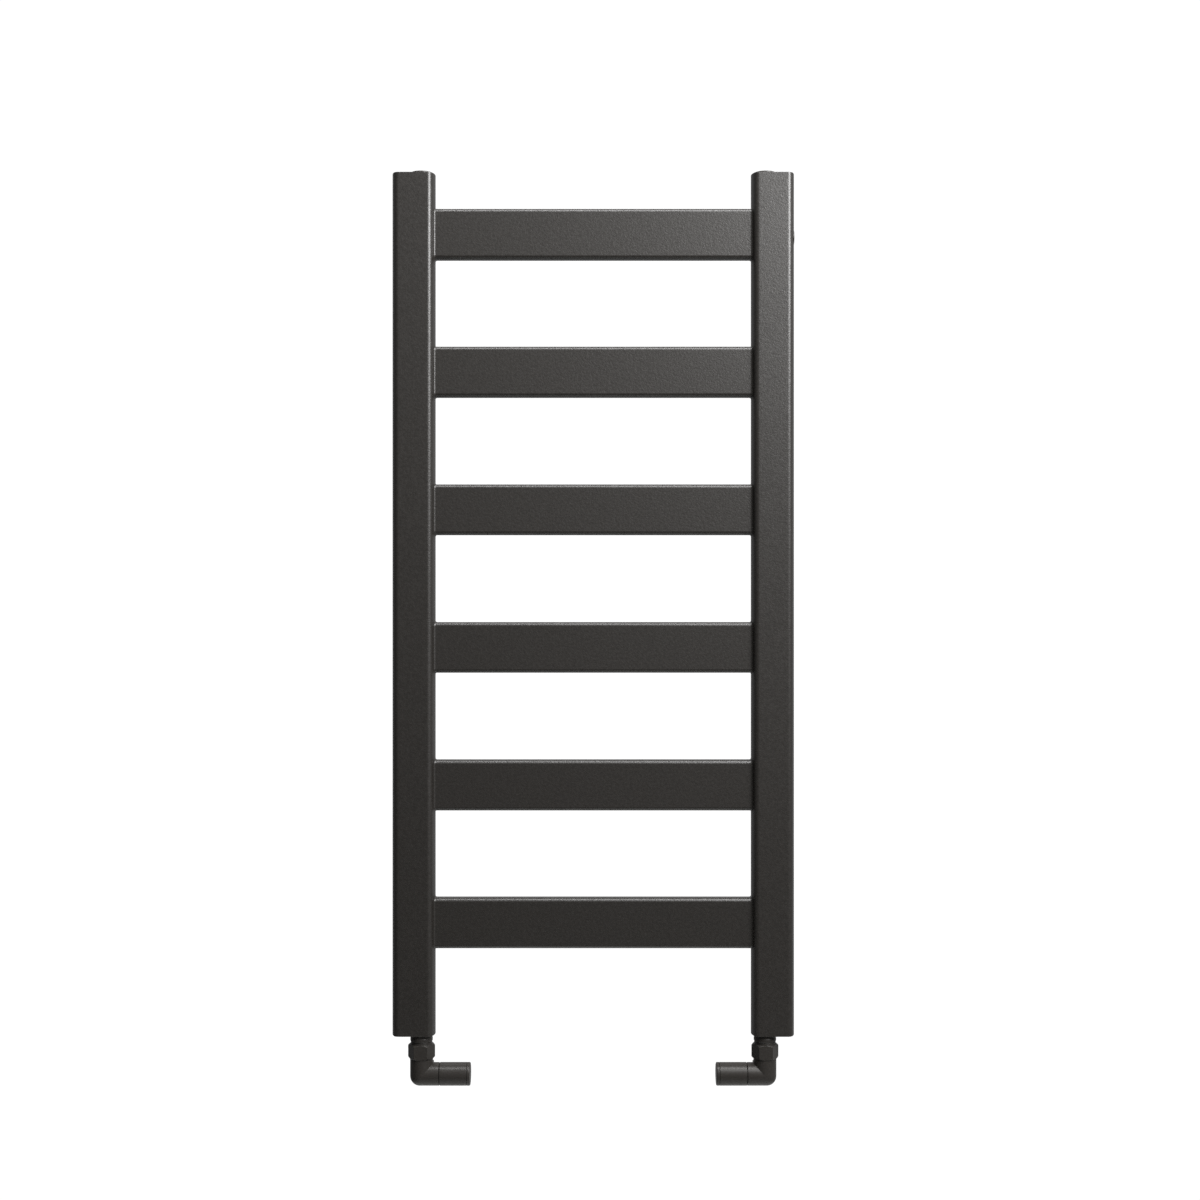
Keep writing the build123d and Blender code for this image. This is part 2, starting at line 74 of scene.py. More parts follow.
THREAD = 9.3 * MM               # half-inch threads, drawn plain
TAPPING = 9.35 * MM             # bores for them
SEAL_SEAT = 12 * MM
SEAL_DEPTH = 1.5 * MM
END_BOSS = 13 * MM
VENT_HOLE = 10.75 * MM          # radius of the hole for the air vent's head

PIPE_BORE = 7.55 * MM           # radius of the valves' sockets for a 15 mm pipe
INNER_BEND = 1.4 * MM           # cast fillet at the elbow's inner corner
INNER_SPREAD = 1.6              # how much wider it gets towards the front and back
INNER_FADE = 0.3                # how late it closes where the two tubes run on
OUTER_BEND = 12.3 * MM          # round of the elbow's outer corner

CORNER_STEPS = 12               # straight pieces that make up each curve
BOW_STEPS = 10
FLAT_STEPS = 8
EDGE_STEPS = 4
BEAD_STEPS = 8
ELBOW_STEPS = 16


# ---- materials ---------------------------------------------------------------------------
def linear(hex_colour):
    """An sRGB hex colour as linear RGBA."""
    channels = [int(hex_colour[i:i + 2], 16) / 255 for i in (1, 3, 5)]
    return [c / 12.92 if c <= 0.04045 else ((c + 0.055) / 1.055) ** 2.4 for c in channels] + [1.0]


def add_node(tree, kind, settings=None, **inputs):
    """Add a node; each input is a value, or the socket that feeds it."""
    node = tree.nodes.new(kind)
    for key, value in (settings or {}).items():
        setattr(node, key, value)
    for key, value in inputs.items():
        socket = node.inputs[key.replace("_", " ")]
        if isinstance(value, bpy.types.NodeSocket):
            tree.links.new(value, socket)
        else:
            socket.default_value = value
    return node


def new_material(name):
    """An empty node material and its tree."""
    material = bpy.data.materials.new(name)
    material.use_nodes = True
    material.node_tree.nodes.clear()
    return material, material.node_tree


def grains(tree, size, detail=2):
    """Noise with grains of one size in metres, on the piece's own coordinates."""
    where = add_node(tree, "ShaderNodeTexCoord").outputs["Object"]
    return add_node(tree, "ShaderNodeTexNoise", Vector=where, Scale=1 / size,
                    Detail=detail).outputs["Fac"]


def two_tones(tree, pattern, dark, light):
    """Two close colours shared out by a pattern."""
    ramp = add_node(tree, "ShaderNodeValToRGB", Fac=pattern)
    low, high = ramp.color_ramp.elements
    low.position, low.color = 0.35, linear(dark)
    high.position, high.color = 0.65, linear(light)
    return ramp.outputs["Color"]


def spread(tree, pattern, low, high):
    """A pattern stretched to run from low to high."""
    return add_node(tree, "ShaderNodeMapRange", Value=pattern, From_Min=0.3, From_Max=0.7,
                    To_Min=low, To_Max=high).outputs["Result"]


def bump(tree, pattern, depth, **onto):
    """The normal of a surface that a pattern raises by up to a depth in metres."""
    return add_node(tree, "ShaderNodeBump", Strength=1.0, Distance=depth, Height=pattern,
                    **onto).outputs["Normal"]


def powder_coat():
    """Anthracite polyester powder, sprayed and baked: a matt skin of fine grains that glitters
    where a lamp grazes it and goes quiet in the shade."""
    material, tree = new_material("anthracite_powder_coat")
    # Real grains are about 0.6 mm apart. They are drawn wider apart than that, so that they show.
    fine = grains(tree, 1.5 * MM)
    coarse = grains(tree, 3.0 * MM, 3)
    normal = bump(tree, fine, 0.10 * MM, Normal=bump(tree, coarse, 0.105 * MM))
    shader = add_node(tree, "ShaderNodeBsdfPrincipled",
                      Base_Color=two_tones(tree, coarse, "#151311", "#191715"),
                      Roughness=spread(tree, coarse, 0.36, 0.40), IOR=1.45, Normal=normal)
    add_node(tree, "ShaderNodeOutputMaterial", Surface=shader.outputs["BSDF"])
    return material


def satin_black():
    """Electrophoretic satin black on cast and turned brass: smooth, with a broad soft shine."""
    material, tree = new_material("satin_black_plating")
    mottle = grains(tree, 1.4 * MM, 3)
    shader = add_node(tree, "ShaderNodeBsdfPrincipled",
                      Base_Color=two_tones(tree, mottle, "#1f1d1b", "#242220"),
                      Roughness=spread(tree, mottle, 0.34, 0.38), IOR=1.28,
                      Normal=bump(tree, mottle, 0.0008 * MM))
    add_node(tree, "ShaderNodeOutputMaterial", Surface=shader.outputs["BSDF"])
    return material


def worked_metal(name, dark, light, roughness, mark):
    """A bare metal with the marks of its working, mark metres apart."""
    material, tree = new_material(name)
    marks = grains(tree, mark, 4)
    shader = add_node(tree, "ShaderNodeBsdfPrincipled", Metallic=1.0,
                      Base_Color=two_tones(tree, marks, dark, light),
                      Roughness=spread(tree, marks, roughness - 0.05, roughness + 0.05),
                      Normal=bump(tree, marks, 0.004 * MM))
    add_node(tree, "ShaderNodeOutputMaterial", Surface=shader.outputs["BSDF"])
    return material


def moulded_rubber():
    """Black EPDM, moulded: dull and faintly dusty."""
    material, tree = new_material("moulded_epdm_rubber")
    dust = grains(tree, 1.0 * MM, 3)
    shader = add_node(tree, "ShaderNodeBsdfPrincipled",
                      Base_Color=two_tones(tree, dust, "#161616", "#242322"),
                      Roughness=spread(tree, dust, 0.70, 0.85), IOR=1.52)
    add_node(tree, "ShaderNodeOutputMaterial", Surface=shader.outputs["BSDF"])
    return material


FINISHES = {
    "powder_coat": powder_coat(),
    "valve_satin": satin_black(),
    # Turned brass keeps fine rings that break up its shine.
    "brass": worked_metal("turned_brass", "#a98a4e", "#c9aa68", 0.30, 0.7 * MM),
    # Zinc plate on turned steel: pale grey with a light mottle.
    "steel": worked_metal("zinc_plated_steel", "#a9abae", "#c6c8ca", 0.34, 0.9 * MM),
    "rubber": moulded_rubber(),
}

for part in frame["record"]["subparts"]:
    node = frame["nodes"][part["node"]]
    node.data.materials.clear()
    node.data.materials.append(FINISHES[part["material_slot"]])


# ---- outlines and shells ------------------------------------------------------------------
def soften(corners, steps=5):
    """A closed outline of (u, v, radius) corners, each rounded into steps + 1 points."""
    points = []
    for k, (u, v, radius) in enumerate(corners):
        here = Vector((u, v))
        before = Vector(corners[k - 1][:2]) - here
        after = Vector(corners[(k + 1) % len(corners)][:2]) - here
        reach = min(before.length, after.length)
        if radius == 0 or reach < 1e-7:
            points += [here] * (steps + 1 if radius else 1)
            continue
        before, after = before.normalized(), after.normalized()
        half = before.angle(after) / 2
        if half > pi / 2 - 0.01:
            points += [here] * (steps + 1)
            continue
        # Two rounds on one side each keep to their half of it.
        cut = min(radius / (sin(half) / cos(half)), 0.49 * reach)
        radius = cut * sin(half) / cos(half)
        centre = here + (before + after).normalized() * (radius / sin(half))
        start = here + before * cut - centre
        turn = start.angle_signed(here + after * cut - centre)
        for step in range(steps + 1):
            angle = -turn * step / steps
            points.append(centre + Vector((start.x * cos(angle) - start.y * sin(angle),
                                           start.x * sin(angle) + start.y * cos(angle))))
    return points


def shell(rows, closed):
    """Faces between rows of points; a closed shell joins its last row to its first."""
    count = len(rows[0])
    verts = [point for row in rows for point in row]
    faces = []
    for r in range(len(rows) if closed else len(rows) - 1):
        low, high = r * count, (r + 1) % len(rows) * count
        for k in range(count):
            nxt = (k + 1) % count
            faces.append((low + k, low + nxt, high + nxt, high + k))
    if not closed:
        faces.append(tuple(range(count))[::-1])
        faces.append(tuple(range(len(verts) - count, len(verts))))
    return verts, faces


def to_mesh(name, shells):
    """One mesh from shells of (verts, faces), merged, with outward faces and smooth shading."""
    made = bmesh.new()
    for verts, faces in shells:
        placed = [made.verts.new(v) for v in verts]
        for face in faces:
            corners = []
            for index in face:
                if not corners or placed[index] is not corners[-1]:
                    corners.append(placed[index])
            made.faces.new(corners)
    bmesh.ops.remove_doubles(made, verts=made.verts, dist=2e-6)
    bmesh.ops.dissolve_degenerate(made, edges=made.edges, dist=1e-6)
    bmesh.ops.recalc_face_normals(made, faces=made.faces)
    mesh = bpy.data.meshes.new(name)
    made.to_mesh(mesh)
    made.free()
    mesh.polygons.foreach_set("use_smooth", [True] * len(mesh.polygons))
    mesh.set_sharp_from_angle(angle=CREASE)
    return mesh


def piece(mesh, finish, body, *nodes):
    """A finished piece that stands for CAD nodes and moves with a body."""
    made = bpy.data.objects.new(mesh.name, mesh)
    bpy.context.scene.collection.objects.link(made)
    mesh.materials.clear()
    mesh.materials.append(FINISHES[finish])
    # Flat faces keep their own normal, and the small edge rounds take up the turn.
    shading = made.modifiers.new("weighted_normals", "WEIGHTED_NORMAL")
    shading.keep_sharp = True
    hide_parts(*nodes)
    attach(made, body)
    return made


LAY = {"x": (1, 2, 0), "y": (2, 0, 1), "z": (0, 1, 2)}
EVEN = [2 * pi * k / ROUND for k in range(ROUND)]
# Angles for a hexagon: even, with more of them close to its six corners.
FROM_CORNER = (-25, -20, -15, -10, -6, -3, -2, -1.2, -0.6, 0, 0.6, 1.2, 2, 3, 6, 10, 15, 20, 25, 30)
HEXED = sorted((radians(60 * side) + radians(off)) % (2 * pi) for side in range(6) for off in FROM_CORNER)


def laid(axis, centre, u, v, along):
    """A point from two coordinates across an axis and one along it."""
    point = Vector(centre)
    for index, value in zip(LAY[axis], (u, v, along)):
        point[index] += value
    return point


def turn(axis, centre, profile, angles=EVEN, closed=True):
    """Turn a profile of (radius, along) points; a function gives one for each angle."""
    columns = []
    for angle in angles:
        outline = profile(angle) if callable(profile) else profile
        columns.append([laid(axis, centre, r * cos(angle), r * sin(angle), s) for r, s in outline])
    rows = [list(row) for row in zip(*columns)]
    return shell(rows, closed)


def hex_radius(angle, width, soft=SOFT_EDGE):
    """How far a hexagon with rounded corners reaches at an angle; a corner points to 0 degrees."""
    from_corner = abs((angle + pi / 6) % (pi / 3) - pi / 6)
    core = (width / 2 - soft) / cos(pi / 6)
    if from_corner < atan2(soft * 0.5, core + soft * cos(pi / 6)):
        return core * cos(from_corner) + sqrt(soft**2 - (core * sin(from_corner))**2)
    return width / 2 / cos(pi / 6 - from_corner)


def drilled(mesh, hole):
    """The mesh with a closed shell cut out of it."""
    base = bpy.data.objects.new(mesh.name, mesh)
    drill = bpy.data.objects.new("drill", to_mesh("drill", [hole]))
    for thing in (base, drill):
        bpy.context.scene.collection.objects.link(thing)
    cut = base.modifiers.new("cut", "BOOLEAN")
    cut.operation, cut.solver, cut.object = "DIFFERENCE", "EXACT", drill
    graph = bpy.context.evaluated_depsgraph_get()
    result = bpy.data.meshes.new_from_object(base.evaluated_get(graph))
    bpy.data.objects.remove(base)
    bpy.data.objects.remove(drill)
    result.name = mesh.name
    result.set_sharp_from_angle(angle=CREASE)
    return result


def mirror_x(shells, side):
    """The shells as they are for side 1, mirrored across the middle for side -1."""
    if side > 0:
        return shells
    return [([Vector((-v[0], v[1], v[2])) for v in verts], faces) for verts, faces in shells]


def middle(name):
    """The middle of a node's box."""
    low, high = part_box(name)
    return (low + high) / 2


# ---- uprights and their end plates -----------------------------------------------------------
upright_low, upright_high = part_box("right_upright")
upright_mid = middle("right_upright")
half_width = (upright_high.x - upright_low.x) / 2
half_depth = (upright_high.y - upright_low.y) / 2
rear_y = upright_high.y


def arc_points(cu, cv, radius, start, end, steps):
    """Points of an arc, angles in radians."""
    return [(cu + radius * cos(start + (end - start) * k / steps),
             cv + radius * sin(start + (end - start) * k / steps)) for k in range(steps + 1)]


def upright_outline(inset):
    """Flat front and back, bowed sides and rounded corners, moved inwards by an inset."""
    bow_centre = half_width - UPRIGHT_BOW
    corner_v = half_depth - UPRIGHT_CORNER
    reach = UPRIGHT_BOW - UPRIGHT_CORNER
    corner_u = bow_centre + sqrt(reach**2 - corner_v**2)
    meet = atan2(corner_v, corner_u - bow_centre)
    corner, bow = UPRIGHT_CORNER - inset, UPRIGHT_BOW - inset
    quarter = arc_points(corner_u, -corner_v, corner, -pi / 2, -meet, CORNER_STEPS)
    quarter += arc_points(bow_centre, 0, bow, -meet, 0, BOW_STEPS)[1:]
    half = quarter + [(u, -v) for u, v in quarter[-2::-1]]
    flat = [(corner_u * (1 - k / FLAT_STEPS), half_depth - inset) for k in range(1, 2 * FLAT_STEPS)]
    return half + flat + [(-u, -v) for u, v in half] + [(-u, -v) for u, v in flat]


def upright_row(inset, z):
    """The right upright's outline at a height."""
    return [upright_mid + Vector((u, v, z - upright_mid.z)) for u, v in upright_outline(inset)]


def plate_rows(bore_axis):
    """An end plate with its boss: rows from the plate's inner face, over its edge, down the bore."""
    low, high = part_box("right_top_end_plate")
    tube_end = upright_high.z
    rows = [upright_row(0, tube_end), upright_row(0, high.z - CUT_EDGE)]
    for k in range(1, EDGE_STEPS + 1):
        tilt = pi / 2 * k / EDGE_STEPS
        rows.append(upright_row(CUT_EDGE * (1 - cos(tilt)), high.z - CUT_EDGE * (1 - sin(tilt))))
    headings = [atan2(p.y - bore_axis.y, p.x - bore_axis.x) for p in rows[0]]
    seat = high.z - SEAL_DEPTH
    for radius, z in ((SEAL_SEAT, high.z), (SEAL_SEAT, seat), (TAPPING, seat), (TAPPING, low.z),
                      (END_BOSS, low.z), (END_BOSS, tube_end)):
        rows.append([Vector((bore_axis.x + radius * cos(h), bore_axis.y + radius * sin(h), z))
                     for h in headings])
    return rows


bore_axis = middle("right_top_plug")
tube = [upright_row(0, upright_low.z), upright_row(0, upright_high.z),
        upright_row(UPRIGHT_WALL, upright_high.z), upright_row(UPRIGHT_WALL, upright_low.z)]
plate = plate_rows(bore_axis)
plate_down = [[Vector((p.x, p.y, 2 * upright_mid.z - p.z)) for p in row] for row in plate]
for name, side in (("left", -1), ("right", 1)):
    mesh = to_mesh(f"{name}_upright_tube", mirror_x([shell(tube, True)], side))
    if name == "right":
        # The air vent's head sits in a hole in the outer side.
        vent = middle("vent_plug")
        drill = [(VENT_HOLE, upright_mid.x), (VENT_HOLE, upright_high.x + MM)]
        mesh = drilled(mesh, turn("x", (0, vent.y, vent.z), drill, closed=False))
    piece(mesh, "powder_coat", "radiator", f"{name}_upright")
    for end, rows in (("top", plate), ("bottom", plate_down)):
        mesh = to_mesh(f"{name}_{end}_plate", mirror_x([shell(rows, True)], side))
        piece(mesh, "powder_coat", "radiator", f"{name}_{end}_end_plate")


# ---- towel bars ---------------------------------------------------------------------------
bar_low, bar_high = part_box("towel_bar_1")
bar_tall = bar_high.z - bar_low.z
bar_deep = bar_high.y - bar_low.y


def side_reach(y):
    """Where the inner, bowed side of the right upright is at a depth."""
    return upright_low.x + UPRIGHT_BOW - sqrt(UPRIGHT_BOW**2 - (y - upright_mid.y)**2)


def bar_outline(inset):
    """A bar's section as (y, z) from its middle."""
    v, z = bar_deep / 2 - inset, bar_tall / 2 - inset
    radius = BAR_CORNER - inset
    return soften([(-v, -z, radius), (v, -z, radius), (v, z, radius), (-v, z, radius)], CORNER_STEPS)


def bar_rows(z, inset, sides):
    """A bar's outline where it meets each upright, for a bar at a height."""
    rows = []
    for side in sides:
        row = []
        for v, w in bar_outline(inset):
            y = upright_mid.y + v
            row.append(Vector((side * side_reach(y), y, z + w)))
        rows.append(row)
    return rows


bar_heights = []
for number in range(1, 7):
    z = middle(f"towel_bar_{number}").z
    bar_heights.append(z)
    rows = bar_rows(z, 0, (-1, 1)) + bar_rows(z, BAR_WALL, (1, -1))
    piece(to_mesh(f"flat_towel_bar_{number}", [shell(rows, True)]), "powder_coat", "radiator",
          f"towel_bar_{number}")


# ---- weld fillets: one bead, repeated up each upright by Geometry Nodes --------------------
def weld_bead():
    """The paint-filled fillet round a bar's right-hand end, for a bar at height zero."""
    outline = bar_outline(0)
    rows = []
    for k, (v, w) in enumerate(outline):
        ahead, behind = Vector(outline[(k + 1) % len(outline)]), Vector(outline[k - 1])
        run = (ahead - behind).normalized()
        out = Vector((run.y, -run.x))
        if out.dot(Vector((v, w))) < 0:
            out = -out
        root_y = upright_mid.y + v
        toe = Vector((v, w)) + out * FILLET_LEG
        root = Vector((side_reach(root_y), root_y, w))
        foot = Vector((side_reach(root_y) - FILLET_LEG, root_y, w))
        head = Vector((side_reach(upright_mid.y + toe.x), upright_mid.y + toe.x, toe.y))
        line = []
        for step in range(BEAD_STEPS + 1):
            t = step / BEAD_STEPS
            line.append(foot * (1 - t)**2 + root * (2 * t * (1 - t)) + head * t**2)
        buried = root + Vector((1, -out.x, -out.y)) * FILLET_SUNK
        rows.append(line + [buried])
    return shell(rows, True)


def repeat_tree(name, finish):
    """A tree that copies its object up a line: named inputs for how many, how far and the start."""
    tree = bpy.data.node_groups.new(name, "GeometryNodeTree")
    face = tree.interface
    face.new_socket("Geometry", in_out="INPUT", socket_type="NodeSocketGeometry")
    for label, kind in (("Count", "NodeSocketInt"), ("Start", "NodeSocketVector"),
                        ("Step", "NodeSocketVector")):
        face.new_socket(label, in_out="INPUT", socket_type=kind)
    face.new_socket("Geometry", in_out="OUTPUT", socket_type="NodeSocketGeometry")
    given = add_node(tree, "NodeGroupInput")
    line = add_node(tree, "GeometryNodeMeshLine", {"mode": "OFFSET"}, Count=given.outputs["Count"],
                    Start_Location=given.outputs["Start"], Offset=given.outputs["Step"])
    copies = add_node(tree, "GeometryNodeInstanceOnPoints", Points=line.outputs["Mesh"],
                      Instance=given.outputs["Geometry"])
    solid = add_node(tree, "GeometryNodeRealizeInstances", Geometry=copies.outputs["Instances"])
    coated = add_node(tree, "GeometryNodeSetMaterial", Geometry=solid.outputs["Geometry"],
                      Material=FINISHES[finish])
    add_node(tree, "NodeGroupOutput", Geometry=coated.outputs["Geometry"])
    return tree


def repeated(mesh, name, finish, values):
    """The mesh that a repeat tree makes from a base mesh, with the tree's inputs given by name."""
    base = bpy.data.objects.new(name, mesh)
    bpy.context.scene.collection.objects.link(base)
    modifier = base.modifiers.new("repeat", "NODES")
    modifier.node_group = repeat_tree(name, finish)
    for item in modifier.node_group.interface.items_tree:
        if item.in_out == "INPUT" and item.name in values:
            modifier[item.identifier] = values[item.name]
    graph = bpy.context.evaluated_depsgraph_get()
    result = bpy.data.meshes.new_from_object(base.evaluated_get(graph))
    bpy.data.objects.remove(base)
    result.name = name
    return result


pitch = (bar_heights[-1] - bar_heights[0]) / (len(bar_heights) - 1)
for name, side in (("left", -1), ("right", 1)):
    bead = to_mesh("weld_bead", mirror_x([weld_bead()], side))
    row = repeated(bead, f"{name}_weld_fillets", "powder_coat", {
        "Count": len(bar_heights), "Start": (0, 0, bar_heights[0]), "Step": (0, 0, pitch)})
    piece(row, "powder_coat", "radiator", f"{name}_weld_beads")


# ---- top plugs, air vent ---------------------------------------------------------------------
def top_plug():
    """A low dome with a hexagonal key recess and a threaded shank."""
    low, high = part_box("right_top_plug")
    rim, seat = (high.x - low.x) / 2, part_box("right_top_end_plate")[1].z
    key_width, key_floor, pinhole = 8 * MM, high.z - 3.5 * MM, 0.5 * MM

    def column(angle):
        key = hex_radius(angle, key_width, SLIGHT_EDGE)
        return soften([
            (rim, seat, BROKEN_EDGE), (rim, high.z, DOMED_EDGE), (key, high.z, BROKEN_EDGE),
            (key, key_floor, 0), (pinhole, key_floor, 0), (pinhole, low.z, 0),
            (THREAD, low.z, EASED_EDGE), (THREAD, seat, 0)])

    return turn("z", (bore_axis.x, bore_axis.y, 0), column, HEXED)


for name, side in (("left", -1), ("right", 1)):
    piece(to_mesh(f"{name}_top_blanking_plug", mirror_x([top_plug()], side)), "valve_satin", "radiator",
          f"{name}_top_plug")


def vent_plug():
    """The vent's round head with its recess for the key, and its threaded shank."""
    low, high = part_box("vent_plug")
    rim, under_head = (high.z - low.z) / 2, high.x - 2.5 * MM
    screw_bore, recess, recess_floor = 3.05 * MM, 4.6 * MM, high.x - 4.5 * MM
    return turn("x", middle("vent_plug") * Vector((0, 1, 1)), soften([
        (screw_bore, low.x, 0), (THREAD, low.x, SOFT_EDGE), (THREAD, under_head, 0),
        (rim, under_head, FINE_EDGE), (rim, high.x, DOMED_EDGE), (recess, high.x, BROKEN_EDGE),
        (recess, recess_floor, 0), (screw_bore, recess_floor, 0)]))


piece(to_mesh("air_vent_plug", [vent_plug()]), "valve_satin", "radiator", "vent_plug")


# ---- wall brackets: one of each part, repeated at the four corners -----------------------------
def wall_post():
    """A cup on a flange, turned from bar, with its screw hole in the floor."""
    low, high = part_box("lower_left_wall_post")
    mouth, floor, flange = low.y, -3 * MM, (high.x - low.x) / 2
    cup, bore, screw_hole = 12 * MM, 7.05 * MM, 2.75 * MM
    return turn("y", (0, 0, 0), soften([
        (cup, mouth, EASED_EDGE), (cup, floor, MILD_EDGE), (flange, floor, EASED_EDGE),
        (flange, 0, FINE_EDGE), (screw_hole, 0, KEEN_EDGE), (screw_hole, floor, 0),
        (bore, floor, 0), (bore, mouth, BROKEN_EDGE)]))


def bracket_pin():
    """The pin that slides in the post, with its collar against the upright."""
    low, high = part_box("bracket_pins")
    stud, collar, pin, pinhole = 3.4 * MM, 10 * MM, 7 * MM, 0.3 * MM
    collar_end = rear_y + 3 * MM
    return turn("y", (0, 0, 0), soften([
        (pinhole, low.y, 0), (stud, low.y, SOFT_EDGE), (stud, rear_y, 0), (collar, rear_y, BROKEN_EDGE),
        (collar, collar_end, SOFT_EDGE), (pin, collar_end, BROKEN_EDGE), (pin, high.y, EASED_EDGE),
        (pinhole, high.y, 0)]))


def grub_screw():
    """A set screw with a hexagonal socket, seen from below."""
    radius, length, pinhole = 2.5 * MM, 5 * MM, 0.2 * MM
    key_width, key_depth = 2.5 * MM, 2.5 * MM
    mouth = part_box("grub_screws")[0].z - middle("lower_left_wall_post").z
    tip, socket_floor = mouth + length, mouth + key_depth

    def column(angle):
        socket = hex_radius(angle, key_width, KEEN_EDGE)
        return soften([
            (radius, mouth, BROKEN_EDGE), (radius, tip, SOFT_EDGE), (pinhole, tip, 0),
            (pinhole, socket_floor, 0), (socket, socket_floor, 0), (socket, mouth, KEEN_EDGE)])

    return turn("z", (0, middle("grub_screws").y, 0), column, HEXED)


lower_left, upper_right = middle("lower_left_wall_post"), middle("upper_right_wall_post")
across, up = upper_right.x - lower_left.x, upper_right.z - lower_left.z
for level, z in (("lower", lower_left.z), ("upper", upper_right.z)):
    for name, x in (("left", lower_left.x), ("right", upper_right.x)):
        verts, faces = wall_post()
        mesh = to_mesh(f"{level}_{name}_post_cup", [([v + Vector((x, 0, z)) for v in verts], faces)])
        piece(mesh, "powder_coat", "radiator", f"{level}_{name}_wall_post")
for name, made, node in (("bracket_pin_set", bracket_pin(), "bracket_pins"),
                         ("grub_screw_set", grub_screw(), "grub_screws")):
    column = repeated(to_mesh(name, [made]), f"{name}_column", "steel", {
        "Count": 2, "Start": (lower_left.x, 0, lower_left.z), "Step": (0, 0, up)})
    both = repeated(column, name, "steel", {"Count": 2, "Start": (0, 0, 0), "Step": (across, 0, 0)})
    piece(both, "steel", "radiator", node)


# ---- corner valves: made for the left, about the point where their three axes meet ----------
# Local +X runs to the head, +Z up to the radiator and +Y back to the wall.
head_joint = next(joint for joint in frame["joints"] if joint["name"] == "left_head_turn")
valve_at = Vector(head_joint["pos_m"])
valve_at.x = middle("left_valve_tail").x


def reach(name):
    """A left valve node's box about the valve's axes."""
    low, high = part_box(f"left_{name}")
    return low - valve_at, high - valve_at


def tail_column():
    """The tail: flange, neck, and the collar that tapers down to a lip below the radiator."""
    low, high = reach("valve_tail")
    bore, neck, flange, flange_top = 7 * MM, 11 * MM, high.x, low.z + 2.5 * MM
    collar, lip = 13.95 * MM, 13.45 * MM
    under = reach("union_nut")[1].z + 0.5 * MM
    bead_low, bead_high, waist = under + 1.4 * MM, under + 4.0 * MM, under + 5.4 * MM
    collar_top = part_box("left_bottom_end_plate")[0].z - valve_at.z
    return soften([
        (bore, low.z, 0), (flange, low.z, FINE_EDGE), (flange, flange_top, FINE_EDGE),
        (neck, flange_top, 0), (neck, under, 0), (lip, under, SLIGHT_EDGE),
        (collar, bead_low, MILD_EDGE), (collar, bead_high, SOFT_EDGE), (lip, waist, SOFT_EDGE),
        (lip, collar_top, BROKEN_EDGE), (THREAD, collar_top, 0), (THREAD, high.z, SOFT_EDGE),
        (bore, high.z, 0)])


def hex_column(width, start, end, chamfer, shoulder, bores):
    """A column of a hexagonal nut: its chamfers meet the flats along curves.

    shoulder is a round step (radius, height) above the hexagon, or None; bores are the
    (radius, along) corners of what is drilled through it, from the top down.
    """
    flat, corner, step_in = width / 2, width / sqrt(3), 0.05 * MM

    def column(angle):
        radius = hex_radius(angle, width)
        drop = chamfer * (radius - flat) / (corner - flat)
        corners = [(flat, start, KEEN_EDGE), (radius, start + drop, SOFT_EDGE),
                   (radius, end - drop, SOFT_EDGE)]
        if shoulder:
            corners += [(flat - step_in, end, FINE_EDGE), (shoulder[0], end, SLIGHT_EDGE),
                        (shoulder[0], shoulder[1], SOFT_EDGE)]
        else:
            corners += [(flat, end, KEEN_EDGE)]
        return soften(corners + [(r, s, 0) for r, s in bores])

    return column


def union_nut():
    """The union nut: chamfered hexagon, round shoulder, lip round the tail's neck."""
    low, high = reach("union_nut")
    shoulder, hexagon_end, chamfer = 13.3 * MM, high.z - 2.6 * MM, 2 * MM
    neck_hole, thread, lip = 11.05 * MM, 13.2 * MM, high.z - 5 * MM
    bores = [(neck_hole, high.z), (neck_hole, lip), (thread, lip), (thread, low.z)]
    column = hex_column(high.y - low.y, low.z, hexagon_end, chamfer, (shoulder, high.z), bores)
    return turn("z", valve_at, column, HEXED)


def elbow():
    """The cast corner: two tubes that run into each other, filleted inside and rounded outside."""
    low, high = reach("valve_body")
    tube, thread, chamber = -low.z, 13.15 * MM, 11.45 * MM
    shoulder, mouth, chamber_floor = reach("union_nut")[0].z - 0.2 * MM, high.x, high.x - 5.8 * MM
    edge = SOFT_EDGE * (1 - sqrt(0.5))
    down = [(thread, high.z), (thread, shoulder), (tube - SOFT_EDGE, shoulder),
            (tube - edge, shoulder - edge), (tube, shoulder - SOFT_EDGE)]
    along = [(tube, mouth - FINE_EDGE), (tube - FINE_EDGE, mouth), (chamber, mouth),
             (chamber, chamber_floor)]
    columns = []
    for angle in EVEN:
        out, side = cos(angle), sin(angle)
        column = [Vector((-r * out, r * side, z)) for r, z in down]
        if out > 0:
            bend = OUTER_BEND * out
        else:
            bend = -INNER_BEND * (-out)**INNER_FADE * (1 + INNER_SPREAD * (1 + out))
        centre = bend - tube * out
        for step in range(ELBOW_STEPS + 1):
            turned = pi / 2 * step / ELBOW_STEPS
            column.append(Vector((centre - bend * cos(turned), tube * side, centre - bend * sin(turned))))
        column += [Vector((x, r * side, -r * out)) for r, x in along]
        columns.append([valve_at + point for point in column])
    return shell([list(row) for row in zip(*columns)], False)


def inlet_neck():
    """The inlet behind the elbow: a round neck, a narrower thread and the pipe's bore."""
    start, pipe_stop, neck_end, end = 5 * MM, 14 * MM, 22.8 * MM, reach("valve_body")[1].y
    waterway, neck, thread = 6 * MM, 11.8 * MM, 10.4 * MM
    return turn("y", valve_at, soften([
        (waterway, start, 0), (neck, start, 0), (neck, neck_end, SOFT_EDGE), (thread, neck_end, 0),
        (thread, end, SOFT_EDGE), (PIPE_BORE, end, 0), (PIPE_BORE, pipe_stop, 0),
        (waterway, pipe_stop, 0)]))


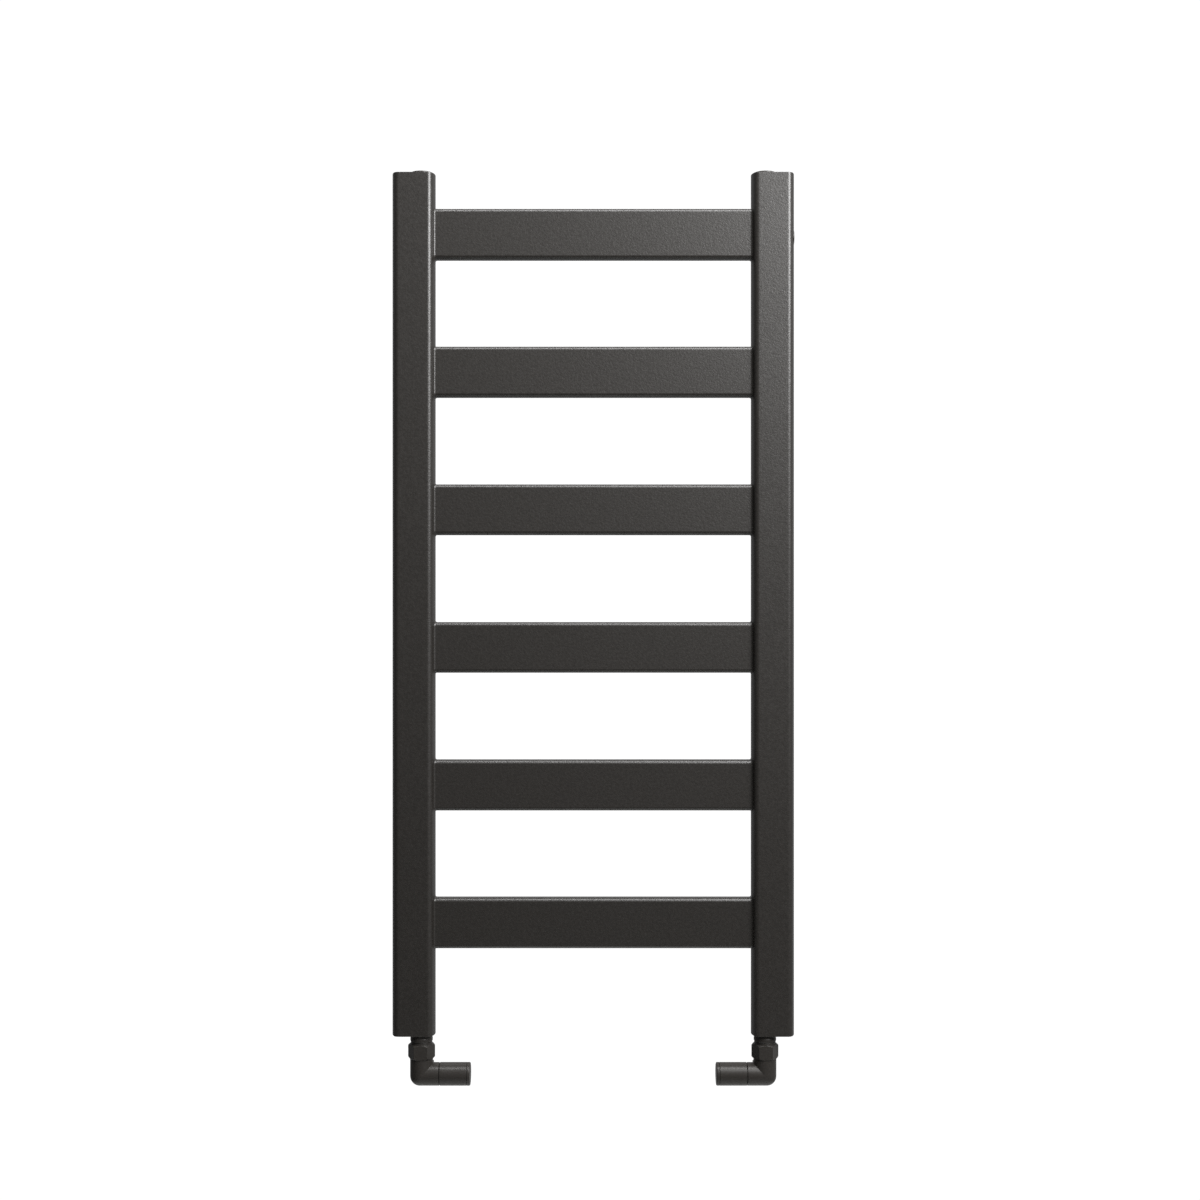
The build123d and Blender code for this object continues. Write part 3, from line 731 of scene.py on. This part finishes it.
def inlet_nut():
    """The hexagonal nut that presses the olive onto the pipe."""
    low, high = reach("inlet_nut")
    lip, thread, chamfer = high.y - 2.5 * MM, 10.45 * MM, 1.2 * MM
    bores = [(PIPE_BORE, high.y), (PIPE_BORE, lip), (thread, lip), (thread, low.y)]
    return turn("y", valve_at, hex_column(high.x - low.x, low.y, high.y, chamfer, None, bores), HEXED)


def head_shell():
    """The head's turned sleeve: a skirt over the bonnet, a hub on it, and a seat for the cap."""
    low, high = reach("valve_head")
    wide, skirt, hub, chamber = high.y, high.y - 2.05 * MM, 8.6 * MM, 11 * MM
    cap_bore, cap_seat, stem_hole = 11.05 * MM, high.x - 2 * MM, 3.6 * MM
    hub_start, hub_end, chamber_end = 33.8 * MM, 39.8 * MM, 49.2 * MM
    return turn("x", valve_at, soften([
        (wide, low.x, SOFT_EDGE), (wide, high.x, SOFT_EDGE), (cap_bore, high.x, FINE_EDGE),
        (cap_bore, cap_seat, 0), (stem_hole, cap_seat, 0), (stem_hole, chamber_end, 0),
        (chamber, chamber_end, 0), (chamber, hub_end, 0), (hub, hub_end, 0), (hub, hub_start, 0),
        (skirt, hub_start, 0), (skirt, low.x, FINE_EDGE)]))


def head_cap():
    """The head's end cap, with the spigot that holds it."""
    low, high = reach("valve_head_cap")
    wide, rim_start = high.y, high.x - 3.9 * MM
    spigot, spigot_bore, pinhole = 11 * MM, 8 * MM, 0.4 * MM
    floor = rim_start + 1.4 * MM
    return turn("x", valve_at, soften([
        (spigot, low.x, FINE_EDGE), (spigot, rim_start, 0), (wide, rim_start, BROKEN_EDGE),
        (wide, high.x, CAP_EDGE), (pinhole, high.x, 0), (pinhole, floor, 0), (spigot_bore, floor, 0),
        (spigot_bore, low.x, FINE_EDGE)]))


VALVE_PIECES = (
    ("valve_tail", "tail_collar", "radiator", [turn("z", valve_at, tail_column())]),
    ("union_nut", "hexagon_union_nut", "radiator", [union_nut()]),
    ("valve_body", "elbow_body", "radiator", [elbow(), inlet_neck()]),
    ("inlet_nut", "compression_nut", "radiator", [inlet_nut()]),
    ("valve_head", "head_sleeve", "head", [head_shell()]),
    ("valve_head_cap", "head_end_cap", "head", [head_cap()]),
)
for name, side in (("left", 1), ("right", -1)):
    for node, label, body, shells in VALVE_PIECES:
        mesh = to_mesh(f"{name}_{label}", mirror_x(shells, side))
        piece(mesh, "valve_satin", f"{name}_head" if body == "head" else body, f"{name}_{node}")


# ---- camera, light and stage ------------------------------------------------------------------
CAMERA_AWAY = 2.061             # from the uprights' front
CAMERA_UP = 5.33 * MM
camera_data = bpy.data.cameras.new("camera")
camera_data.lens = 50
camera_data.sensor_width = 36
camera_data.shift_x = 0.00563
camera = bpy.data.objects.new("camera", camera_data)
camera.location = (0, upright_low.y - CAMERA_AWAY, CAMERA_UP)
camera.rotation_euler = (radians(90), 0, 0)
bpy.context.scene.collection.objects.link(camera)
bpy.context.scene.camera = camera
bpy.context.scene.view_settings.view_transform = "Standard"


def softbox(name, place, aim, size, power):
    """A square soft light that points at a place."""
    data = bpy.data.lights.new(name, "AREA")
    data.shape = "RECTANGLE"
    data.size, data.size_y = size
    data.energy = power
    lamp = bpy.data.objects.new(name, data)
    lamp.location = place
    lamp.rotation_euler = (Vector(aim) - Vector(place)).to_track_quat("-Z", "Y").to_euler()
    bpy.context.scene.collection.objects.link(lamp)


softbox("key_softbox", (1.30, -1.50, 1.35), (0, 0, 0.3), (1.2, 1.2), 168)
softbox("top_softbox", (0.1, -0.95, 2.1), (0, 0, 0), (1.6, 0.7), 66)
softbox("back_softbox", (-0.5, 1.7, 2.4), (0, 0, 0), (1.6, 1.0), 9)

# A white studio: brighter from above, the right and behind, and plain white to the camera.
BRIGHT_SIDE = (0.50, 0.35, 0.72)
DIMMEST, BRIGHTEST, BACKDROP = 0.115, 0.62, 1.05
world = bpy.data.worlds.new("white_studio")
world.use_nodes = True
bpy.context.scene.world = world
tree = world.node_tree
tree.nodes.clear()
heading = add_node(tree, "ShaderNodeTexCoord").outputs["Generated"]
lit_side = add_node(tree, "ShaderNodeVectorMath", {"operation": "DOT_PRODUCT"})
tree.links.new(heading, lit_side.inputs[0])
lit_side.inputs[1].default_value = BRIGHT_SIDE
level = add_node(tree, "ShaderNodeMapRange", Value=lit_side.outputs["Value"], From_Min=-0.8,
                 From_Max=1.0, To_Min=DIMMEST, To_Max=BRIGHTEST).outputs["Result"]
seen = add_node(tree, "ShaderNodeLightPath").outputs["Is Camera Ray"]
strength = add_node(tree, "ShaderNodeMix", {"data_type": "FLOAT"}, Factor=seen, A=level, B=BACKDROP)
glow = add_node(tree, "ShaderNodeBackground", Color=(1, 1, 1, 1), Strength=strength.outputs["Result"])
add_node(tree, "ShaderNodeOutputWorld", Surface=glow.outputs["Background"])

# A pale floor below the radiator, which fades out before its edges.
FLOOR_Z, FLOOR_SIDE, FLOOR_FRONT, FLOOR_BACK = -1.3, 1.7, -1.6, 1.3
FADE_START, FADE_END = 0.45, 1.28
floor_mesh = bpy.data.meshes.new("floor")
floor_mesh.from_pydata([(-FLOOR_SIDE, FLOOR_FRONT, FLOOR_Z), (FLOOR_SIDE, FLOOR_FRONT, FLOOR_Z),
                        (FLOOR_SIDE, FLOOR_BACK, FLOOR_Z), (-FLOOR_SIDE, FLOOR_BACK, FLOOR_Z)],
                       [], [(0, 1, 2, 3)])
floor = bpy.data.objects.new("floor", floor_mesh)
bpy.context.scene.collection.objects.link(floor)
material, tree = new_material("pale_floor")
shader = add_node(tree, "ShaderNodeBsdfPrincipled", Base_Color=linear("#dcdcda"), Roughness=0.9)
clear = add_node(tree, "ShaderNodeBsdfTransparent")
place = add_node(tree, "ShaderNodeTexCoord").outputs["Object"]
flat = add_node(tree, "ShaderNodeVectorMath", {"operation": "MULTIPLY"})
tree.links.new(place, flat.inputs[0])
flat.inputs[1].default_value = (1, 1, 0)
away = add_node(tree, "ShaderNodeVectorMath", {"operation": "LENGTH"}, Vector=flat.outputs["Vector"])
fade = add_node(tree, "ShaderNodeMapRange", {"interpolation_type": "SMOOTHSTEP"},
                Value=away.outputs["Value"], From_Min=FADE_START, From_Max=FADE_END)
floor_finish = add_node(tree, "ShaderNodeMixShader", Fac=fade.outputs["Result"])
tree.links.new(shader.outputs["BSDF"], floor_finish.inputs[1])
tree.links.new(clear.outputs["BSDF"], floor_finish.inputs[2])
add_node(tree, "ShaderNodeOutputMaterial", Surface=floor_finish.outputs["Shader"])
floor_mesh.materials.append(material)
